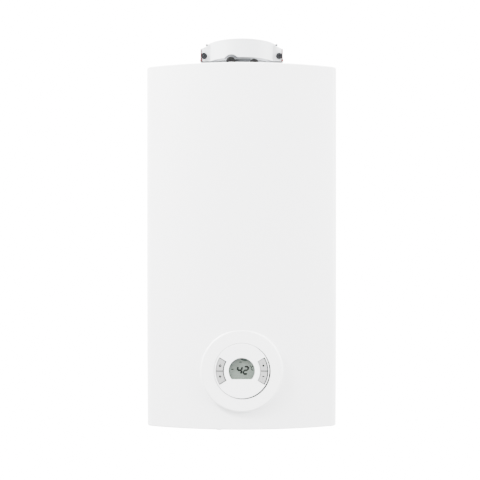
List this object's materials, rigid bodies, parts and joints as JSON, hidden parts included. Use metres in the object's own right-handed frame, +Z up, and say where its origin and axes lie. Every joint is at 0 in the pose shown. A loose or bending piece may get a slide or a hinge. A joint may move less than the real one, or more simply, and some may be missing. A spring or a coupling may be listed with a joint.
{
  "type": "tankless water heater",
  "caption": "Wall-hung gas water heater with a bowed white casing, a round control panel near the foot and a flue collar on top; the cover slides off over the working parts.",
  "frame": {"origin": "centre of the four wall fixing slots, on the wall plane at the back", "axes": "+X to the heater's right as seen from the front, +Y into the wall, +Z up; the front faces -Y"},
  "size_m": [0.3, 0.1706, 0.6255],
  "materials": {
    "cover_paint": "satin white powder coat",
    "panel_paint": "satin white powder coat",
    "zinc_sheet": "zinc-coated sheet",
    "steel": "zinc-plated steel",
    "dark_steel": "blackened steel",
    "aluminium": "die cast",
    "copper": "bare copper",
    "brass": "machined",
    "white_plastic": "moulded, light gloss",
    "key_plastic": "moulded, matt light grey",
    "screen": "clear, grey-green",
    "lcd": "liquid crystal panel",
    "board": "glass-fibre board",
    "black_plastic": "moulded",
    "grey_plastic": "moulded",
    "red_silicone": "silicone",
    "seal_rubber": "foam rubber",
    "fibre_board": "ceramic fibre",
    "white_ceramic": "glazed",
    "black_rubber": "hose rubber"
  },
  "bodies": {
    "chassis": {"rear_panel": "zinc_sheet", "top_panel": "panel_paint", "foot_panel": "panel_paint", "cover_seals": "seal_rubber", "cover_screws": "steel", "flue_base": "aluminium", "collar_front": "white_plastic", "collar_gasket": "red_silicone", "collar_screws": "dark_steel", "port_caps": "black_plastic", "inner_socket": "aluminium", "socket_lip_seal": "red_silicone", "fan_scroll": "zinc_sheet", "outlet_adapter": "zinc_sheet", "motor_housing": "aluminium", "motor_stator": "dark_steel", "hex_screws": "steel", "hood": "zinc_sheet", "heat_jacket": "copper", "heat_fins": "copper", "heat_tube": "copper", "combustion_chamber": "zinc_sheet", "chamber_lining": "fibre_board", "brackets": "zinc_sheet", "temperature_sensors": "brass", "burner_bars": "steel", "burner_frame": "zinc_sheet", "gas_manifold": "aluminium", "injectors": "brass", "electrode_insulators": "white_ceramic", "electrodes": "steel", "unions": "brass", "pipe_nuts": "brass", "gas_valve": "aluminium", "valve_coil": "black_plastic", "gas_pipe": "steel", "flow_sensor": "grey_plastic", "water_pipes": "copper", "control_box": "grey_plastic", "control_lid": "grey_plastic", "control_board": "board", "cable_gland": "black_plastic", "igniter": "black_plastic", "pressure_switch": "grey_plastic", "pressure_hose": "black_rubber"},
    "cover": {"front_cover": "cover_paint", "fascia": "white_plastic", "screen_lens": "screen", "screen_module": "lcd", "display_board": "board", "display_housing": "grey_plastic", "fascia_nuts": "steel"},
    "key_power": {"key_power": "key_plastic"},
    "key_reset": {"key_reset": "key_plastic"},
    "key_plus": {"key_plus": "key_plastic"},
    "key_minus": {"key_minus": "key_plastic"},
    "fan_wheel": {"fan_impeller": "zinc_sheet", "fan_shaft": "steel"},
    "flow_wheel": {"flow_turbine": "white_plastic"},
    "armature": {"valve_armature": "steel"}
  },
  "joints": [
    {"name": "cover_slide", "type": "slide", "parent": "chassis", "child": "cover", "axis": [0, -1, 0], "range_m": [0, 0.25]},
    {"name": "key_power_press", "type": "slide", "parent": "cover", "child": "key_power", "axis": [0, 1, 0], "range_m": [0, 0.0008], "stiffness_N_per_m": 1500, "springref_m": -0.0004},
    {"name": "key_reset_press", "type": "slide", "parent": "cover", "child": "key_reset", "axis": [0, 1, 0], "range_m": [0, 0.0008], "stiffness_N_per_m": 1500, "springref_m": -0.0004},
    {"name": "key_plus_press", "type": "slide", "parent": "cover", "child": "key_plus", "axis": [0, 1, 0], "range_m": [0, 0.0008], "stiffness_N_per_m": 1500, "springref_m": -0.0004},
    {"name": "key_minus_press", "type": "slide", "parent": "cover", "child": "key_minus", "axis": [0, 1, 0], "range_m": [0, 0.0008], "stiffness_N_per_m": 1500, "springref_m": -0.0004},
    {"name": "fan_spin", "type": "hinge", "parent": "chassis", "child": "fan_wheel", "pos_m": [-0.029, -0.085, 0.198], "axis": [0, 1, 0], "continuous": true},
    {"name": "turbine_spin", "type": "hinge", "parent": "chassis", "child": "flow_wheel", "pos_m": [0.08, -0.06, -0.2363], "axis": [0, 0, 1], "continuous": true},
    {"name": "armature_slide", "type": "slide", "parent": "chassis", "child": "armature", "axis": [-1, 0, 0], "range_m": [0, 0.0025], "stiffness_N_per_m": 400, "springref_m": -0.002}
  ]
}
